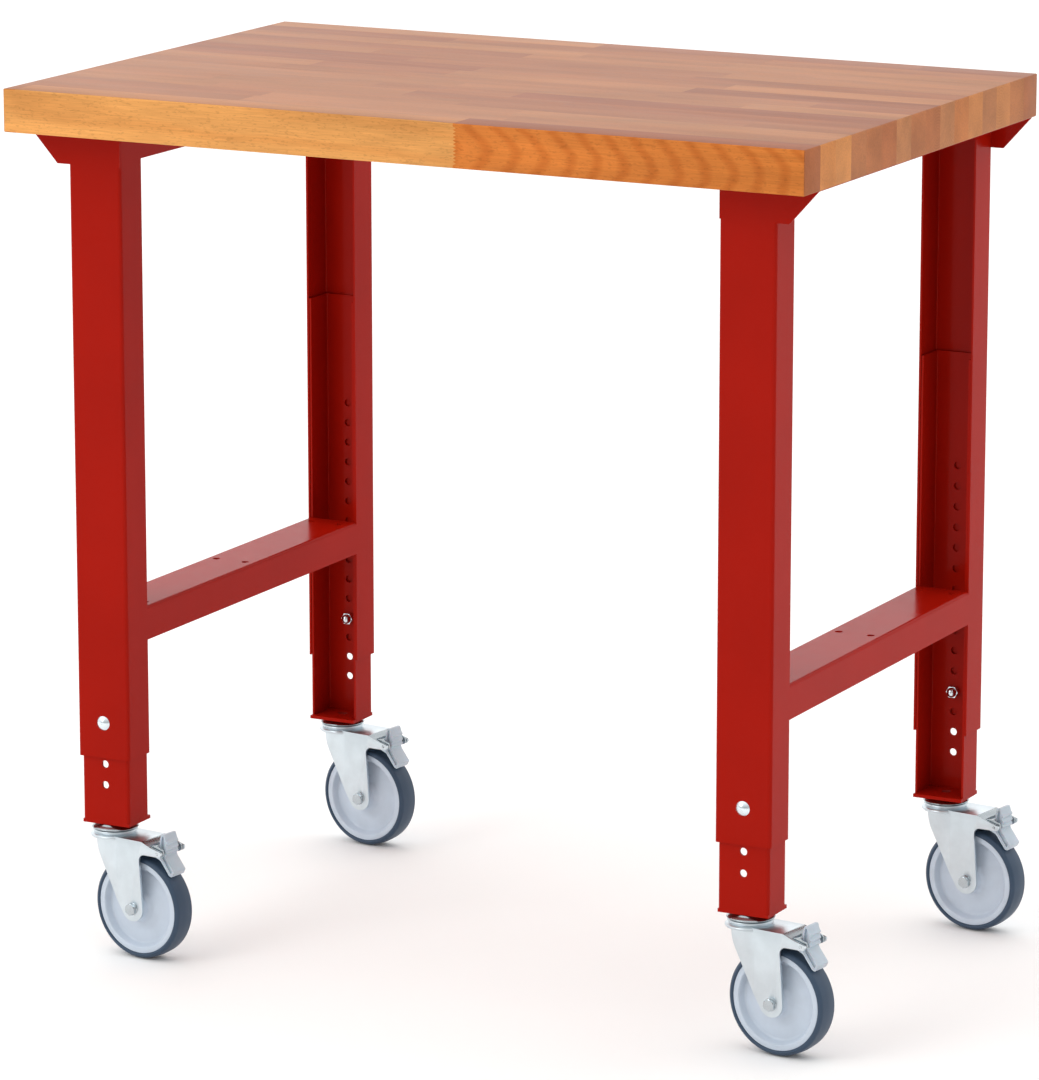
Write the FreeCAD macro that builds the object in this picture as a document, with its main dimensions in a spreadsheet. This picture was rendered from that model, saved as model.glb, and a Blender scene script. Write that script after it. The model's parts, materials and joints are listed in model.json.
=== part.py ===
import FreeCAD, Part
import os
import re
import Sketcher

# A wheeled, height-adjustable work bench: a solid beech top on two red steel side frames.
# Frame: +X along the bench's length, +Y to its back, +Z up. The origin is on the floor,
# below the middle of the bench's overall box, in which the trailing wheels reach a little
# past the worktop's right-hand end. Everything is in millimetres and degrees.

SIZES = {
    # Worktop
    "worktop_length": 1000,
    "worktop_depth": 650,
    "worktop_thickness": 50,
    "worktop_edge_round": 1.5,
    # Side frames: two legs, a cross rail and a top bearer each
    "frame_depth": 600,
    "end_inset": 55,
    "sheet_thickness": 2.5,
    "bend_radius": 4,
    "leg_width": 68,
    "leg_depth": 47,
    "leg_exposed_length": 738,
    "rail_height": 40,
    "rail_rise": 176,
    "rail_hole_spacing": 40,
    "rail_hole_end_distance": 18,
    "rail_hole_diameter": 9,
    "bearer_end_height": 40,
    "bearer_lip_height": 35,
    "ear_reach": 15,
    "ear_setback": 6,
    # Telescoping inner legs
    "slide_gap": 0.5,
    "inner_leg_length": 530,
    "inner_leg_recess": 1,
    "first_hole_height": 44,
    "hole_pitch": 25,
    "hole_count": 15,
    "hole_diameter": 9,
    "holes_below_bolt": 3,
    "bolt_edge_height": 42,
    "foot_plate_thickness": 4,
    "foot_plate_lip": 6,
    # Height bolts and cap nuts
    "height_bolt_diameter": 8,
    "height_head_diameter": 17,
    "height_head_height": 4,
    "cap_nut_across": 13,
    "cap_nut_hex_height": 6.5,
    "cap_nut_dome_diameter": 12.4,
    "cap_nut_clearance": 0.2,
    # Worktop screws
    "screw_diameter": 7,
    "screw_length": 35,
    "screw_head_diameter": 14,
    "screw_head_height": 4,
    "screw_end_distance": 45,
    "screw_centre_distance": 70,
    "screw_clearance": 0.05,
    # Casters
    "caster_axis_depth": 24,
    "caster_swing": 8,
    "caster_trail": 42,
    "wheel_diameter": 125,
    "tread_width": 32,
    "tread_thickness": 7,
    "tread_shoulder": 5,
    "rim_thickness": 6,
    "rim_recess": 2.5,
    "web_thickness": 5,
    "hub_diameter": 30,
    "hub_clearance": 0.5,
    "running_clearance": 0.05,
    "swivel_gap": 0.3,
    "wheel_side_gap": 4,
    "wheel_top_gap": 17,
    "fork_sheet": 3,
    "fork_end_radius": 15,
    "crown_thickness": 4,
    "crown_radius": 29,
    "lower_race_radius": 26,
    "lower_race_height": 5,
    "upper_race_radius": 27.5,
    "upper_race_height": 6.7,
    "kingpin_radius": 9,
    "kingpin_flange_radius": 14,
    "kingpin_flange_height": 3,
    "caster_bolt_diameter": 12,
    "caster_bolt_across": 19,
    "caster_bolt_head": 7.5,
    "bolt_hole_clearance": 0.1,
    "axle_bolt_diameter": 8,
    "axle_bolt_across": 13,
    "axle_bolt_head": 5.5,
    "axle_nut_height": 6.5,
    "axle_bolt_overhang": 3,
    "axle_sleeve_diameter": 12,
    # Brakes
    "pedal_pin_inset": 24.5,
    "pedal_pin_drop": 11,
    "pedal_pin_diameter": 5,
    "pedal_barrel_radius": 4.5,
    "carrier_sheet": 2,
    "carrier_side_gap": 2,
    "pedal_side_gap": 5,
}

PLACES = {
    "wheel_reach_x": "(caster_trail + wheel_radius) * cos(caster_swing)",
    "wheel_reach_y": "(tread_width / 2 - tread_shoulder) * sin(caster_swing)",
    "right_reach": "leg_x + wheel_reach_x + wheel_reach_y",
    "bench_x": "(worktop_length / 2 - right_reach) / 2",
    "leg_x": "worktop_length / 2 - end_inset - leg_width / 2",
    "front_face_y": "worktop_depth / 2 - frame_depth",
    "back_face_y": "worktop_depth / 2",
    "frame_centre_y": "worktop_depth / 2 - frame_depth / 2",
    "inner_leg_foot": "caster_height + foot_plate_thickness",
    "bolt_height": "inner_leg_foot + first_hole_height + holes_below_bolt * hole_pitch",
    "leg_foot": "bolt_height - bolt_edge_height",
    "worktop_underside": "leg_foot + leg_exposed_length",
    "bearer_underside": "worktop_underside - sheet_thickness",
    "leg_notch_height": "bearer_end_height - sheet_thickness",
    "leg_length": "leg_exposed_length - sheet_thickness",
    "rail_top": "leg_foot + rail_rise",
    "rail_length": "frame_depth - 2 * leg_depth",
    "inner_leg_offset": "sheet_thickness + slide_gap",
    "inner_leg_width": "leg_width - 2 * inner_leg_offset",
    "inner_leg_depth": "leg_depth - inner_leg_offset - inner_leg_recess",
    "rail_hole_span": "rail_length - 2 * rail_hole_end_distance",
    "wheel_radius": "wheel_diameter / 2",
    "rim_radius": "wheel_radius - tread_thickness",
    "rim_width": "tread_width - 2 * rim_recess",
    "fork_gap": "tread_width + 2 * wheel_side_gap",
    "hub_width": "fork_gap - 2 * hub_clearance",
    "fork_width": "fork_gap + 2 * fork_sheet",
    "crown_underside": "wheel_diameter + wheel_top_gap",
    "crown_height": "crown_underside + crown_thickness",
    "arm_rise": "crown_height - wheel_radius",
    "lower_race_top": "crown_height + lower_race_height",
    "caster_height": "lower_race_top + swivel_gap + upper_race_height",
    "pedal_pin_x": "caster_trail + wheel_radius - pedal_pin_inset",
    "pedal_pin_height": "crown_height - pedal_pin_drop",
    "cheek_inside": "fork_gap / 2 - carrier_side_gap - carrier_sheet",
    "pedal_width": "2 * (cheek_inside - pedal_side_gap)",
    "nut_face": "2 * sheet_thickness + slide_gap + cap_nut_clearance",
    "screw_x": "leg_x + leg_width / 4",
}

CORNERS = [
    ("front_left", -1, -1),
    ("front_right", 1, -1),
    ("back_left", -1, 1),
    ("back_right", 1, 1),
]

NAME = re.compile(r"[a-z]+(?:_[a-z]+)+")
UP = FreeCAD.Vector(0, 0, 1)
ALONG_X = FreeCAD.Vector(1, 0, 0)

doc = FreeCAD.newDocument("WorkBench")
parts = []


# Document helpers


def make_sheet():
    sheet = doc.addObject("Spreadsheet::Sheet", "Sizes")
    for row, (alias, value) in enumerate(SIZES.items(), start=1):
        sheet.set("A%d" % row, alias)
        sheet.set("B%d" % row, str(value))
        sheet.setAlias("B%d" % row, alias)
    doc.recompute()


def expression(text):
    """Write out every named size and place in text as an expression on the sheet."""

    def full(match):
        word = match.group(0)
        if word in SIZES:
            return "Sizes." + word
        if word in PLACES:
            return "(" + expression(PLACES[word]) + ")"
        raise NameError("no size or place is called " + word)

    return NAME.sub(full, str(text))


def value(text):
    """The number that a text of sizes and places comes to."""
    result = doc.Sizes.evalExpression(expression(text).replace("Sizes.", ""))
    return float(getattr(result, "Value", result))


def bind(thing, **sizes):
    for size, text in sizes.items():
        thing.setExpression(size, expression(text))


def new_body(label):
    body = doc.addObject("PartDesign::Body", label)
    body.Label = label
    parts.append(body)
    return body


def origin_feature(body, role):
    return next(item for item in body.Origin.OriginFeatures if item.Role == role)


def new_sketch(body, role, offset="0"):
    """A sketch on one of the body's own planes, moved along the plane's normal by offset."""
    sketch = body.newObject("Sketcher::SketchObject", "Sketch")
    sketch.AttachmentSupport = (origin_feature(body, role), [""])
    sketch.MapMode = "FlatFace"
    sketch.setExpression("AttachmentOffset.Base.z", expression(offset))
    return sketch


def pin_point(sketch, item, point, across, up):
    """Hold one point of a sketch element at (across, up), both bound to the sheet."""
    for kind, text in (("DistanceX", across), ("DistanceY", up)):
        index = sketch.addConstraint(
            Sketcher.Constraint(kind, -1, 1, item, point, value(text))
        )
        sketch.setExpression("Constraints[%d]" % index, expression(text))


def add_outline(sketch, corners):
    """A closed outline of straight edges through (across, up) corners."""
    spots = [FreeCAD.Vector(value(across), value(up), 0) for across, up in corners]
    first = sketch.GeometryCount
    count = len(corners)
    for i in range(count):
        sketch.addGeometry(Part.LineSegment(spots[i], spots[(i + 1) % count]), False)
    for i in range(count):
        following = first + (i + 1) % count
        sketch.addConstraint(Sketcher.Constraint("Coincident", first + i, 2, following, 1))
    for i, (across, up) in enumerate(corners):
        pin_point(sketch, first + i, 1, across, up)


def add_box_outline(sketch, low_across, high_across, low_up, high_up):
    add_outline(
        sketch,
        [
            (low_across, low_up),
            (high_across, low_up),
            (high_across, high_up),
            (low_across, high_up),
        ],
    )


def add_circle(sketch, across, up, radius):
    centre = FreeCAD.Vector(value(across), value(up), 0)
    item = sketch.addGeometry(Part.Circle(centre, UP, value(radius)), False)
    pin_point(sketch, item, 3, across, up)
    index = sketch.addConstraint(Sketcher.Constraint("Radius", item, value(radius)))
    sketch.setExpression("Constraints[%d]" % index, expression(radius))


def add_hexagon(sketch, across_flats):
    """A hexagon about the sketch's origin, by its size across flats."""
    corners = []
    for i in range(6):
        turn = 60 * i
        corners.append(
            (
                "(%s) / 2 / cos(30) * cos(%d)" % (across_flats, turn),
                "(%s) / 2 / cos(30) * sin(%d)" % (across_flats, turn),
            )
        )
    add_outline(sketch, corners)


def pad(body, sketch, length, both_ways=False, turned=False):
    feature = body.newObject("PartDesign::Pad", "Pad")
    feature.Profile = sketch
    feature.Midplane = both_ways
    feature.Reversed = turned
    bind(feature, Length=length)
    doc.recompute()
    return feature


def pocket(body, sketch, length):
    """Cut half of length to each side of the sketch, and check that something was cut."""
    before = body.Shape.Volume
    feature = body.newObject("PartDesign::Pocket", "Pocket")
    feature.Profile = sketch
    feature.Midplane = True
    bind(feature, Length=length)
    doc.recompute()
    if body.Shape.Volume >= before:
        raise RuntimeError(body.Label + ": a pocket cuts nothing")
    return feature


def revolve(body, sketch):
    """A full turn about the sketch's own upright axis."""
    feature = body.newObject("PartDesign::Revolution", "Revolution")
    feature.Profile = sketch
    feature.ReferenceAxis = (sketch, ["V_Axis"])
    feature.Angle = 360
    doc.recompute()
    return feature


def round_edges(body, base, radius, wanted):
    names = [
        "Edge%d" % number
        for number, edge in enumerate(base.Shape.Edges, start=1)
        if wanted(edge)
    ]
    feature = body.newObject("PartDesign::Fillet", "Fillet")
    feature.Base = (base, names)
    bind(feature, Radius=radius)
    doc.recompute()
    return feature


def place(thing, across, along, height, axis=UP, turn="0"):
    """Put a part at a point, counted from the worktop's middle, turned about its own origin."""
    angle = value(turn)
    thing.Placement = FreeCAD.Placement(FreeCAD.Vector(), FreeCAD.Rotation(axis, angle))
    thing.setExpression("Placement.Base.x", expression("bench_x + (%s)" % across))
    thing.setExpression("Placement.Base.y", expression(along))
    thing.setExpression("Placement.Base.z", expression(height))
    if NAME.search(turn):
        thing.setExpression("Placement.Rotation.Angle", expression(turn))


def face_y(back):
    return "back_face_y" if back > 0 else "front_face_y"


# Frame parts


def upright_edge_at(across, along):
    """A test for an edge that stands upright at (across, along) or (-across, along)."""

    def wanted(edge):
        ends = [vertex.Point for vertex in edge.Vertexes]
        upright = abs(ends[0].z - ends[-1].z) > 1
        return upright and all(
            abs(abs(end.x) - across) < 0.01 and abs(end.y - along) < 0.01 for end in ends
        )

    return wanted


def add_channel(body, width, depth, length):
    """A folded U along +Z: the web's outer face lies at y = 0, the flanges point along +Y."""
    sketch = new_sketch(body, "XY_Plane")
    half = "(%s) / 2" % width
    inside = "(%s) / 2 - sheet_thickness" % width
    add_outline(
        sketch,
        [
            ("-(%s)" % half, "0"),
            (half, "0"),
            (half, depth),
            (inside, depth),
            (inside, "sheet_thickness"),
            ("-(%s)" % inside, "sheet_thickness"),
            ("-(%s)" % inside, depth),
            ("-(%s)" % half, depth),
        ],
    )
    blank = pad(body, sketch, length)
    outer = round_edges(body, blank, "bend_radius", upright_edge_at(value(half), 0))
    inner_test = upright_edge_at(value(inside), value("sheet_thickness"))
    return round_edges(body, outer, "bend_radius - sheet_thickness", inner_test)


def make_worktop():
    body = new_body("worktop")
    sketch = new_sketch(body, "XY_Plane")
    half_length = "worktop_length / 2"
    half_depth = "worktop_depth / 2"
    add_box_outline(sketch, "-" + half_length, half_length, "-" + half_depth, half_depth)
    board = pad(body, sketch, "worktop_thickness")
    round_edges(body, board, "worktop_edge_round", lambda edge: True)
    holes = new_sketch(body, "XY_Plane")
    for side, along in screw_spots():
        across = "%d * screw_x" % side
        add_circle(holes, across, along, "screw_diameter / 2 + screw_clearance")
    pocket(body, holes, "2 * (screw_length - sheet_thickness + screw_clearance)")
    place(body, "0", "0", "worktop_underside")


def screw_spots():
    """Each worktop screw's side and place along the frame."""
    spots = []
    for side in (-1, 1):
        for way in (-1, 1):
            for distance in ("screw_centre_distance", "rail_length / 2 - screw_end_distance"):
                spots.append((side, "frame_centre_y + %d * (%s)" % (way, distance)))
    return spots


def make_outer_leg(corner, side, back):
    body = new_body("outer_leg_" + corner)
    add_channel(body, "leg_width", "leg_depth", "leg_length")
    notch = new_sketch(body, "XZ_Plane")
    add_box_outline(
        notch,
        "-leg_width",
        "leg_width",
        "leg_length - leg_notch_height",
        "leg_length + leg_notch_height",
    )
    pocket(body, notch, "2 * sheet_thickness")
    hole = new_sketch(body, "XZ_Plane")
    add_circle(hole, "0", "bolt_edge_height", "hole_diameter / 2")
    pocket(body, hole, "4 * sheet_thickness")
    turn = "180" if back > 0 else "0"
    place(body, "%d * leg_x" % side, face_y(back), "leg_foot", turn=turn)


def make_cross_rail(name, side):
    """The rail is a channel laid along +Y with its web on top."""
    body = new_body("cross_rail_" + name)
    add_channel(body, "leg_width", "rail_height", "rail_length")
    holes = new_sketch(body, "XZ_Plane")
    middle = "rail_length / 2"
    for way in (-1, 0, 1):
        for edge in (-1, 1):
            across = "%d * rail_hole_spacing / 2" % edge
            up = "%s + %d * rail_hole_span / 2" % (middle, way)
            add_circle(holes, across, up, "rail_hole_diameter / 2")
    pocket(body, holes, "4 * sheet_thickness")
    start = "frame_centre_y - rail_length / 2"
    place(body, "%d * leg_x" % side, start, "rail_top", axis=ALONG_X, turn="-90")


def make_top_bearer(name, side):
    """A folded plate under the worktop: a flat web, a lip on its inner side and two end plates.

    It is drawn for the right-hand frame about the frame's centre, with the web's top at z = 0.
    The left-hand bearer is the same piece turned half a turn.
    """
    body = new_body("top_bearer_" + name)
    inner = "-leg_width / 2"
    outer = "leg_width / 2 + end_inset - ear_setback"
    web = new_sketch(body, "XY_Plane", "-sheet_thickness")
    add_box_outline(web, inner, outer, "-frame_depth / 2", "frame_depth / 2")
    pad(body, web, "sheet_thickness")
    lip = new_sketch(body, "XZ_Plane")
    lip_face = "sheet_thickness - leg_width / 2"
    add_box_outline(lip, inner, lip_face, "-bearer_lip_height", "0")
    pad(body, lip, "rail_length", both_ways=True)
    for way in (-1, 1):
        middle = "%d * (frame_depth / 2 - sheet_thickness / 2)" % way
        end = new_sketch(body, "XZ_Plane", middle)
        add_outline(
            end,
            [
                (inner, "-bearer_end_height"),
                ("leg_width / 2 + ear_reach", "-bearer_end_height"),
                (outer, "-sheet_thickness"),
                (outer, "0"),
                (inner, "0"),
            ],
        )
        pad(body, end, "sheet_thickness", both_ways=True)
    holes = new_sketch(body, "XY_Plane")
    for spot_side, along in screw_spots():
        if spot_side == 1:
            up = "%s - frame_centre_y" % along
            add_circle(holes, "screw_x - leg_x", up, "screw_diameter / 2 + screw_clearance")
    pocket(body, holes, "4 * sheet_thickness")
    turn = "180" if side < 0 else "0"
    place(body, "%d * leg_x" % side, "frame_centre_y", "worktop_underside", turn=turn)


def make_inner_leg(corner, side, back):
    body = new_body("inner_leg_" + corner)
    add_channel(body, "inner_leg_width", "inner_leg_depth", "inner_leg_length")
    hole = new_sketch(body, "XZ_Plane")
    add_circle(hole, "0", "first_hole_height", "hole_diameter / 2")
    first = pocket(body, hole, "4 * sheet_thickness")
    row = body.newObject("PartDesign::LinearPattern", "HoleRow")
    row.Originals = [first]
    row.Direction = (origin_feature(body, "Z_Axis"), [""])
    bind(row, Length="(hole_count - 1) * hole_pitch", Occurrences="hole_count")
    body.Tip = row
    doc.recompute()
    turn = "180" if back > 0 else "0"
    along = "%s - %d * inner_leg_offset" % (face_y(back), back)
    place(body, "%d * leg_x" % side, along, "inner_leg_foot", turn=turn)


def make_foot_plate(corner, side, back):
    """The plate welded across the inner leg's foot, which the caster bolts to."""
    body = new_body("foot_plate_" + corner)
    sketch = new_sketch(body, "XY_Plane")
    half = "inner_leg_width / 2"
    far = "inner_leg_depth + foot_plate_lip"
    add_box_outline(sketch, "-(%s)" % half, half, "0", far)
    radius = "caster_bolt_diameter / 2 + bolt_hole_clearance"
    add_circle(sketch, "0", "caster_axis_depth - inner_leg_offset", radius)
    pad(body, sketch, "foot_plate_thickness")
    turn = "180" if back > 0 else "0"
    along = "%s - %d * inner_leg_offset" % (face_y(back), back)
    place(body, "%d * leg_x" % side, along, "caster_height", turn=turn)


# Fasteners, each kind a group of separate solids in one node


def primitive(kind, name, **sizes):
    thing = doc.addObject("Part::" + kind, name)
    bind(thing, **sizes)
    return thing


def fuse(name, pieces):
    whole = doc.addObject("Part::MultiFuse", name)
    whole.Shapes = pieces
    return whole


def group(label, members):
    whole = doc.addObject("Part::Compound", label)
    whole.Label = label
    whole.Links = members
    parts.append(whole)


def one_height_bolt():
    """A low domed head with a stub of shank behind it. The head's flat face is at z = 0."""
    radius = "((height_head_diameter / 2) ^ 2 + height_head_height ^ 2) / (2 * height_head_height)"
    dome = primitive("Sphere", "BoltDome", Radius=radius)
    dome.Angle2 = 90
    dome.setExpression(
        "Angle1", expression("asin(1 - height_head_height / (%s))" % radius)
    )
    dome.setExpression("Placement.Base.z", expression("height_head_height - (%s)" % radius))
    shank_length = "sheet_thickness + slide_gap / 2"
    shank = primitive(
        "Cylinder", "BoltShank", Radius="height_bolt_diameter / 2", Height=shank_length
    )
    shank.setExpression("Placement.Base.z", expression("-(%s)" % shank_length))
    return fuse("HeightBolt", [dome, shank])


def one_cap_nut():
    """A hexagon with a round cap. Its flat face is at z = 0."""
    hexagon = primitive(
        "Prism",
        "NutHexagon",
        Circumradius="cap_nut_across / 2 / cos(30)",
        Height="cap_nut_hex_height",
    )
    hexagon.Polygon = 6
    cap = primitive("Sphere", "NutCap", Radius="cap_nut_dome_diameter / 2")
    cap.Angle1 = 0
    cap.Angle2 = 90
    cap.setExpression("Placement.Base.z", expression("cap_nut_hex_height"))
    return fuse("CapNut", [hexagon, cap])


def one_worktop_screw():
    """A pan-head screw that points up. The head's top face, under the bearer, is at z = 0."""
    head = primitive(
        "Cone",
        "ScrewHead",
        Radius1="screw_head_diameter / 2 - screw_head_height / 2",
        Radius2="screw_head_diameter / 2",
        Height="screw_head_height",
    )
    head.setExpression("Placement.Base.z", expression("-screw_head_height"))
    shank = primitive(
        "Cylinder", "ScrewShank", Radius="screw_diameter / 2", Height="screw_length"
    )
    return fuse("WorktopScrew", [head, shank])


def make_fasteners():
    bolts = []
    nuts = []
    for corner, side, back in CORNERS:
        across = "%d * leg_x" % side
        bolt = one_height_bolt()
        place(bolt, across, face_y(back), "bolt_height", ALONG_X, str(-90 * back))
        bolts.append(bolt)
        nut = one_cap_nut()
        along = "%s - %d * nut_face" % (face_y(back), back)
        place(nut, across, along, "bolt_height", ALONG_X, str(90 * back))
        nuts.append(nut)
    group("height_bolts", bolts)
    group("cap_nuts", nuts)
    screws = []
    for side, along in screw_spots():
        screw = one_worktop_screw()
        place(screw, "%d * screw_x" % side, along, "bearer_underside")
        screws.append(screw)
    group("worktop_screws", screws)


# Casters. Each is drawn about its own swivel axis, with z = 0 on the floor and the wheel
# trailing along +X, and is then turned by the swing angle.


def place_caster_part(body, side, back, ahead="0", height="0"):
    """Put a caster part's own origin at a distance behind the swivel axis and a height."""
    axis_y = "%s - %d * caster_axis_depth" % (face_y(back), back)
    across = "%d * leg_x + (%s) * cos(caster_swing)" % (side, ahead)
    along = "%s - (%s) * sin(caster_swing)" % (axis_y, ahead)
    place(body, across, along, height, turn="-caster_swing")


def add_turned_profile(body, role, corners):
    sketch = new_sketch(body, role)
    add_outline(sketch, corners)
    revolve(body, sketch)


def make_caster_bolt(corner, side, back):
    """The bolt up through the hollow kingpin into the foot plate, where its end is flush."""
    body = new_body("caster_bolt_" + corner)
    seat = "crown_underside - kingpin_flange_height"
    head = new_sketch(body, "XY_Plane", seat)
    add_hexagon(head, "caster_bolt_across")
    pad(body, head, "caster_bolt_head", turned=True)
    shank = new_sketch(body, "XY_Plane", seat)
    add_circle(shank, "0", "0", "caster_bolt_diameter / 2")
    pad(body, shank, "inner_leg_foot - (%s)" % seat)
    place_caster_part(body, side, back)


def make_swivel_race(corner, side, back):
    """The fixed ball race with its hollow kingpin, flared below the fork's crown."""
    body = new_body("swivel_race_" + corner)
    bore = "caster_bolt_diameter / 2 + bolt_hole_clearance"
    flange_top = "crown_underside - swivel_gap"
    flange_foot = "crown_underside - kingpin_flange_height"
    race_foot = "lower_race_top + swivel_gap"
    add_turned_profile(
        body,
        "XZ_Plane",
        [
            (bore, flange_foot),
            ("kingpin_flange_radius", flange_foot),
            ("kingpin_flange_radius", flange_top),
            ("kingpin_radius", flange_top),
            ("kingpin_radius", race_foot),
            ("upper_race_radius", race_foot),
            ("upper_race_radius", "(lower_race_top + caster_height) / 2"),
            ("upper_race_radius - 4", "caster_height"),
            (bore, "caster_height"),
        ],
    )
    place_caster_part(body, side, back)


def make_fork(corner, side, back):
    """A pressed sheet fork: two raked arms, a round crown and the lower ball race on it."""
    body = new_body("fork_" + corner)
    arms = new_sketch(body, "XZ_Plane")
    add_outline(
        arms,
        [
            ("-17", "crown_height"),
            ("crown_radius", "crown_height"),
            ("pedal_pin_x - 23", "crown_height"),
            ("pedal_pin_x - 10", "pedal_pin_height + 5.5"),
            ("pedal_pin_x", "pedal_pin_height + 5"),
            ("pedal_pin_x + 6", "pedal_pin_height + 3"),
            ("pedal_pin_x + 8", "pedal_pin_height - 1"),
            ("pedal_pin_x + 5", "pedal_pin_height - 4.5"),
            ("pedal_pin_x - 6", "pedal_pin_height - 5.5"),
            ("caster_trail + 15", "pedal_pin_height - 5"),
            ("caster_trail + 10.5", "pedal_pin_height - 12"),
            ("caster_trail + fork_end_radius", "wheel_radius"),
            ("caster_trail", "wheel_radius - 1"),
            ("caster_trail - fork_end_radius", "wheel_radius"),
            ("caster_trail - 17", "wheel_radius + 0.07 * arm_rise"),
            ("caster_trail - 36", "wheel_radius + 0.4 * arm_rise"),
            ("caster_trail - 50", "wheel_radius + 0.7 * arm_rise"),
            ("caster_trail - 56", "wheel_radius + 0.87 * arm_rise"),
        ],
    )
    pad(body, arms, "fork_width", both_ways=True)
    ends = new_sketch(body, "XZ_Plane")
    add_circle(ends, "caster_trail", "wheel_radius", "fork_end_radius")
    pad(body, ends, "fork_width", both_ways=True)
    inside = new_sketch(body, "YZ_Plane")
    half = "fork_gap / 2"
    add_box_outline(inside, "-" + half, half, "0", "crown_underside")
    pocket(body, inside, "8 * crown_radius + 2 * caster_trail")
    crown = new_sketch(body, "XY_Plane", "crown_underside")
    add_circle(crown, "0", "0", "crown_radius")
    pad(body, crown, "crown_thickness")
    race = new_sketch(body, "XY_Plane", "crown_height")
    add_circle(race, "0", "0", "lower_race_radius")
    pad(body, race, "lower_race_height")
    bore = new_sketch(body, "XY_Plane", "crown_height")
    add_circle(bore, "0", "0", "kingpin_radius + running_clearance")
    pocket(body, bore, "4 * crown_thickness + 2 * lower_race_height")
    cross_holes = new_sketch(body, "XZ_Plane")
    axle_hole = "axle_bolt_diameter / 2 + bolt_hole_clearance"
    add_circle(cross_holes, "caster_trail", "wheel_radius", axle_hole)
    pin_hole = "pedal_pin_diameter / 2 + bolt_hole_clearance"
    add_circle(cross_holes, "pedal_pin_x", "pedal_pin_height", pin_hole)
    pocket(body, cross_holes, "2 * fork_width")
    place_caster_part(body, side, back)


def place_on_axle(body, side, back):
    place_caster_part(body, side, back, "caster_trail", "wheel_radius")


def make_axle_bolt(corner, side, back):
    body = new_body("axle_bolt_" + corner)
    head = new_sketch(body, "XZ_Plane", "fork_width / 2")
    add_hexagon(head, "axle_bolt_across")
    pad(body, head, "axle_bolt_head")
    shank = new_sketch(body, "XZ_Plane", "fork_width / 2")
    add_circle(shank, "0", "0", "axle_bolt_diameter / 2")
    pad(body, shank, "fork_width + axle_nut_height + axle_bolt_overhang", turned=True)
    place_on_axle(body, side, back)


def make_axle_nut(corner, side, back):
    body = new_body("axle_nut_" + corner)
    sketch = new_sketch(body, "XZ_Plane", "-fork_width / 2")
    add_hexagon(sketch, "axle_bolt_across")
    add_circle(sketch, "0", "0", "axle_bolt_diameter / 2 + bolt_hole_clearance")
    pad(body, sketch, "axle_nut_height", turned=True)
    place_on_axle(body, side, back)


def make_axle_sleeve(corner, side, back):
    """The spacer tube that the arms clamp and the wheel turns on."""
    body = new_body("axle_sleeve_" + corner)
    sketch = new_sketch(body, "XZ_Plane")
    add_circle(sketch, "0", "0", "axle_sleeve_diameter / 2")
    add_circle(sketch, "0", "0", "axle_bolt_diameter / 2 + bolt_hole_clearance")
    pad(body, sketch, "fork_gap", both_ways=True)
    place_on_axle(body, side, back)


def make_wheel_core(corner, side, back):
    """Hub, web and rim in one moulding, turned about the axle."""
    body = new_body("wheel_core_" + corner)
    bore = "axle_sleeve_diameter / 2 + running_clearance"
    hub = "hub_diameter / 2"
    rim_inside = "rim_radius - rim_thickness"
    right_half = [
        (bore, "hub_width / 2"),
        (hub + " - 3", "hub_width / 2"),
        (hub, "hub_width / 2 - 6"),
        (hub + " + 5", "web_thickness / 2"),
        (rim_inside + " - 8", "web_thickness / 2"),
        (rim_inside, "rim_width / 2"),
        ("rim_radius", "rim_width / 2"),
    ]
    left_half = [(across, "-(%s)" % up) for across, up in reversed(right_half)]
    add_turned_profile(body, "XY_Plane", right_half + left_half)
    place_on_axle(body, side, back)


def make_tread(corner, side, back):
    body = new_body("tread_" + corner)
    half = "tread_width / 2"
    add_turned_profile(
        body,
        "XY_Plane",
        [
            ("rim_radius", "-rim_width / 2"),
            ("rim_radius", "rim_width / 2"),
            ("rim_radius + 1", half),
            ("wheel_radius - tread_shoulder", half),
            ("wheel_radius - tread_shoulder / 3", half + " - tread_shoulder / 3"),
            ("wheel_radius", half + " - tread_shoulder"),
            ("wheel_radius", "tread_shoulder - " + half),
            ("wheel_radius - tread_shoulder / 3", "tread_shoulder / 3 - " + half),
            ("wheel_radius - tread_shoulder", "-" + half),
            ("rim_radius + 1", "-" + half),
        ],
    )
    place_on_axle(body, side, back)


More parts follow.
